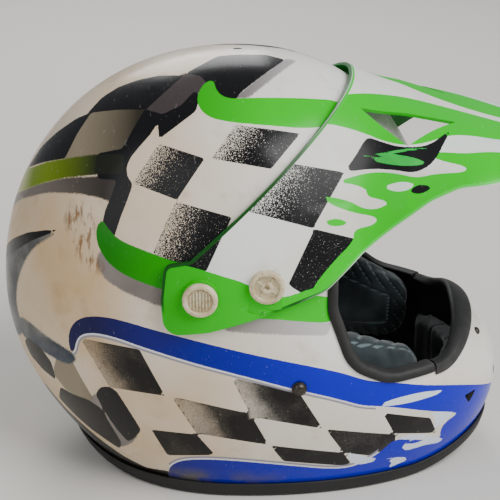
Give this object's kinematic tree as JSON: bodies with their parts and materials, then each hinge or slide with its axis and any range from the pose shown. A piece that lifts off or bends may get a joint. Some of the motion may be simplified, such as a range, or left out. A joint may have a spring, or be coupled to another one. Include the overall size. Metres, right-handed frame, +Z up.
{
  "type": "motocross helmet",
  "caption": "Full-face off-road helmet with a tilting peaked visor, open eye port, rubber edge trims, removable cheek pads and a D-ring chin strap.",
  "frame": {"origin": "middle of the helmet's overall box on the plane its base trim rests on", "axes": "+X to the wearer's left, +Y to the back of the head and away from the visor's tip, +Z up"},
  "size_m": [0.2614, 0.4175, 0.292],
  "materials": {
    "white_gloss": "gloss painted composite",
    "green_gloss": "gloss painted plastic",
    "rubber": "satin black rubber",
    "eps": "matt black foam",
    "foam": "dark padded foam",
    "lining": "dark quilted cloth",
    "cheek_cloth": "dark quilted cloth",
    "webbing": "woven black webbing",
    "steel": "plated steel",
    "dark_steel": "blackened steel",
    "black_plastic": "black plastic",
    "cream_plastic": "cream plastic"
  },
  "bodies": {
    "helmet": {"base_trim": "rubber", "cheek_pad_left": "cheek_cloth", "cheek_pad_right": "cheek_cloth", "cheek_snap_front_left": "black_plastic", "cheek_snap_front_right": "black_plastic", "cheek_snap_rear_left": "black_plastic", "cheek_snap_rear_right": "black_plastic", "chin_foam": "foam", "chin_vent_screen_left": "black_plastic", "chin_vent_screen_right": "black_plastic", "crown_lining": "lining", "eye_port_trim": "rubber", "impact_liner": "eps", "mouth_vent_grille": "black_plastic", "neck_roll": "lining", "nose_guard": "rubber", "nose_guard_screw": "black_plastic", "outer_shell": "white_gloss", "strap_anchor_left": "steel", "strap_anchor_right": "steel", "strap_rivet_left": "dark_steel", "strap_rivet_right": "dark_steel", "strap_root_left": "webbing", "strap_root_right": "webbing", "visor_clamp_nut_left": "steel", "visor_clamp_nut_right": "steel", "visor_clamp_screw_left": "cream_plastic", "visor_clamp_screw_right": "cream_plastic", "visor_pivot_nut_left": "steel", "visor_pivot_nut_right": "steel", "visor_pivot_screw_left": "cream_plastic", "visor_pivot_screw_right": "cream_plastic"},
    "visor": {"visor": "green_gloss"},
    "chin_strap": {"strap_short": "webbing", "strap_ring_loop": "webbing", "strap_long": "webbing", "d_ring_lower": "steel", "d_ring_upper": "steel", "strap_snap": "dark_steel"}
  },
  "joints": [
    {"name": "visor_tilt", "type": "hinge", "parent": "helmet", "child": "visor", "pos_m": [0, 0.06, 0.163], "axis": [-1, 0, 0], "range_deg": [0, 12]},
    {"name": "strap_swing", "type": "hinge", "parent": "helmet", "child": "chin_strap", "pos_m": [0, -0.003, 0.03], "axis": [1, 0, 0], "range_deg": [-30, 30]}
  ]
}
